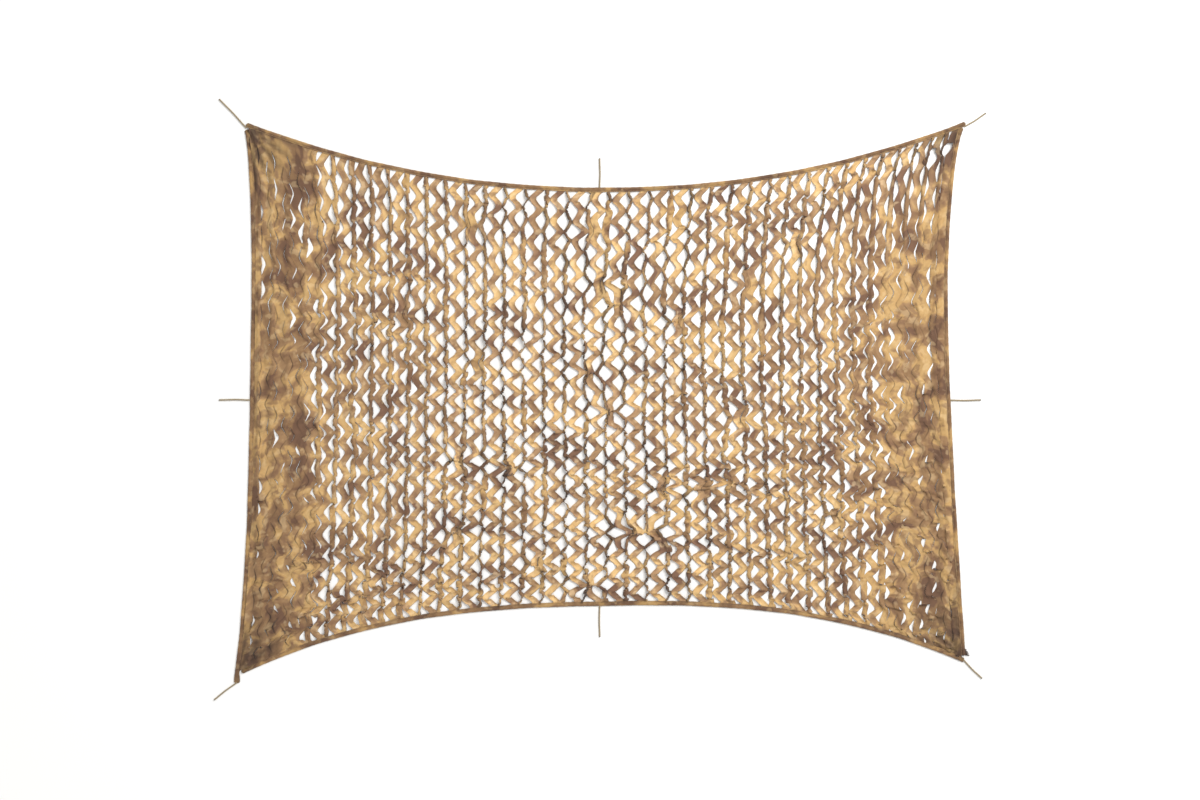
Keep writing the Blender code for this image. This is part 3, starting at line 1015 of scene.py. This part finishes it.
# The cloth itself: a grid split along its slits, laid out as drawn open
net = bmesh.new()
fold_shade_layer = net.verts.layers.float.new("fold")
rim_layer = net.verts.layers.float.new("rim")
line_layer = net.verts.layers.float.new("line")
drawn_light_layer = net.verts.layers.float.new("drawn")
bmesh.ops.create_grid(net, x_segments=strips * ACROSS, y_segments=rows, size=0.5)
slits = []
for edge in net.edges:
    (x0, y0, _), (x1, y1, _) = edge.verts[0].co, edge.verts[1].co
    column = round((x0 + 0.5) * strips * ACROSS)
    if abs(x1 - x0) < 1e-6 and column % ACROSS == 0 and 0 < column < strips * ACROSS:
        row = round((min(y0, y1) + 0.5) * rows)
        line = column // ACROSS - 1
        whole = joined[line, row] and joined[line, row + 1]
        if not whole or (gap[line, row] and gap[line, row + 1]):
            slits.append(edge)
bmesh.ops.split_edges(net, edges=slits)
uv = net.loops.layers.uv.new("cut")
for vert in net.verts:
    column = round((vert.co.x + 0.5) * strips * ACROSS)
    row = round((vert.co.y + 0.5) * rows)
    inside = sum(f.calc_center_median().x for f in vert.link_faces) / len(vert.link_faces)
    strip = min(strips - 1, int((inside + 0.5) * strips - 1e-6))
    at = (strip, column - strip * ACROSS, row)
    for loop in vert.link_loops:
        loop[uv].uv = flat[at][:2]
    drawn_open = float(opening[strip, 0, row])
    vert[rim_layer] = float(rim[at])
    vert[line_layer] = column / ACROSS
    # Painted shade: inside the pleats where the net is open, and in the corner fans, side folds
    # and creases
    if strip % 2 == 0:
        vert[fold_shade_layer] = float(narrow[strip, 0, row] * depth[strip, 0, row])
    else:
        vert[fold_shade_layer] = 0.0
    vert[fold_shade_layer] = min(1.0, vert[fold_shade_layer] + float(painted_fold_shade[at]))
    # Painted light: paler where the cloth is drawn open, less so on the pleats
    vert[drawn_light_layer] = drawn_open * (0.3 if strip % 2 == 0 else 1.0)
    vert.co.z = strip + 1  # marks the strip until every place is read
places = {}
for vert in net.verts:
    column = round((vert.co.x + 0.5) * strips * ACROSS)
    row = round((vert.co.y + 0.5) * rows)
    strip = round(vert.co.z) - 1
    places[vert] = drawn[strip, column - strip * ACROSS, row]
for vert, place in places.items():
    vert.co = place


# Painted light and shade on the cloth: how dark the painted shade gets, and how much paler the
# print is painted where the cloth is drawn open and, a little, everywhere
FOLD_SHADE_GAIN = 0.74
DRAWN_LIGHT_SHARE = (0.80, 0.20)  # how much paler: gain with the opening, and everywhere
DRAWN_OPEN_LIGHT = (1.66, 1.84, 2.25, 1.0)  # times the print's colour, where fully drawn open


def cloth_material():
    """Printed polyester cloth: plain weave, matt, with painted light that makes it paler where it
    is drawn open and painted shade in pleats, folds and along cut edges.
    """
    material = bpy.data.materials.new("printed_polyester_plain_weave")
    material.use_nodes = True
    tree = material.node_tree
    shader = tree.nodes["Principled BSDF"]
    shader.inputs["Roughness"].default_value = 0.82
    shader.inputs["Sheen Weight"].default_value = 0.25
    place = add(tree, "ShaderNodeUVMap", {"uv_map": "cut"})
    print_colour = camouflage(tree, place.outputs["UV"], (0.0, 0.0, 0.0))
    # Painted shade in pleats, corner fans, side folds and creases
    fold_shade_share = add(tree, "ShaderNodeAttribute", {"attribute_name": "fold"})
    # Painted shade along cut edges: a dark rim 2 mm wide
    line = add(tree, "ShaderNodeAttribute", {"attribute_name": "line"})
    rim_share = add(tree, "ShaderNodeAttribute", {"attribute_name": "rim"})
    from_cut = add(
        tree,
        "ShaderNodeMath",
        {"operation": "PINGPONG", 1: 0.5},
        {0: line.outputs["Fac"]},
    )
    rim_shade = add(
        tree,
        "ShaderNodeMapRange",
        {"From Min": 0.13, "From Max": 0.05, "To Min": 0.0, "To Max": 0.85},
        {"Value": from_cut.outputs["Value"]},
    )
    rim_dark = add(
        tree,
        "ShaderNodeMath",
        {"operation": "MULTIPLY"},
        {0: rim_share.outputs["Fac"], 1: rim_shade.outputs["Result"]},
    )
    shade = add(
        tree,
        "ShaderNodeMath",
        {"operation": "MULTIPLY_ADD", 1: FOLD_SHADE_GAIN, "use_clamp": True},
        {0: fold_shade_share.outputs["Fac"], 2: rim_dark.outputs["Value"]},
    )
    drawn_light_share = add(tree, "ShaderNodeAttribute", {"attribute_name": "drawn"})
    painted_light_share = add(
        tree,
        "ShaderNodeMath",
        {"operation": "MULTIPLY_ADD", 1: DRAWN_LIGHT_SHARE[0], 2: DRAWN_LIGHT_SHARE[1], "use_clamp": True},
        {0: drawn_light_share.outputs["Fac"]},
    )
    # Painted light: the print made paler where the cloth is drawn open, and a little everywhere
    lit_print = add(
        tree,
        "ShaderNodeMix",
        {"data_type": "RGBA", "blend_type": "MULTIPLY", 7: DRAWN_OPEN_LIGHT},
        {0: painted_light_share.outputs["Value"], 6: print_colour},
    )
    shaded = add(
        tree,
        "ShaderNodeMix",
        {"data_type": "RGBA", 7: linear("#38261a")},
        {0: shade.outputs["Value"], 6: lit_print.outputs[2]},
    )
    # Threads are 0.35 mm apart; the weave is drawn at 1.4 mm so that it shows
    weft = add(
        tree,
        "ShaderNodeTexWave",
        {"bands_direction": "X", "Scale": 220.0, "Distortion": 0.4},
        {"Vector": place.outputs["UV"]},
    )
    warp = add(
        tree,
        "ShaderNodeTexWave",
        {"bands_direction": "Y", "Scale": 220.0, "Distortion": 0.4},
        {"Vector": place.outputs["UV"]},
    )
    weave = add(
        tree,
        "ShaderNodeMath",
        {"operation": "MULTIPLY"},
        {0: weft.outputs["Fac"], 1: warp.outputs["Fac"]},
    )
    bump = add(
        tree,
        "ShaderNodeBump",
        {"Strength": 0.3, "Distance": 0.0003},
        {"Height": weave.outputs["Value"]},
    )
    tree.links.new(shaded.outputs[2], shader.inputs["Base Color"])
    tree.links.new(bump.outputs["Normal"], shader.inputs["Normal"])
    return material


cloth = finish_piece("slit_cloth", net, cloth_material(), "printed_cloth", "net_panel")
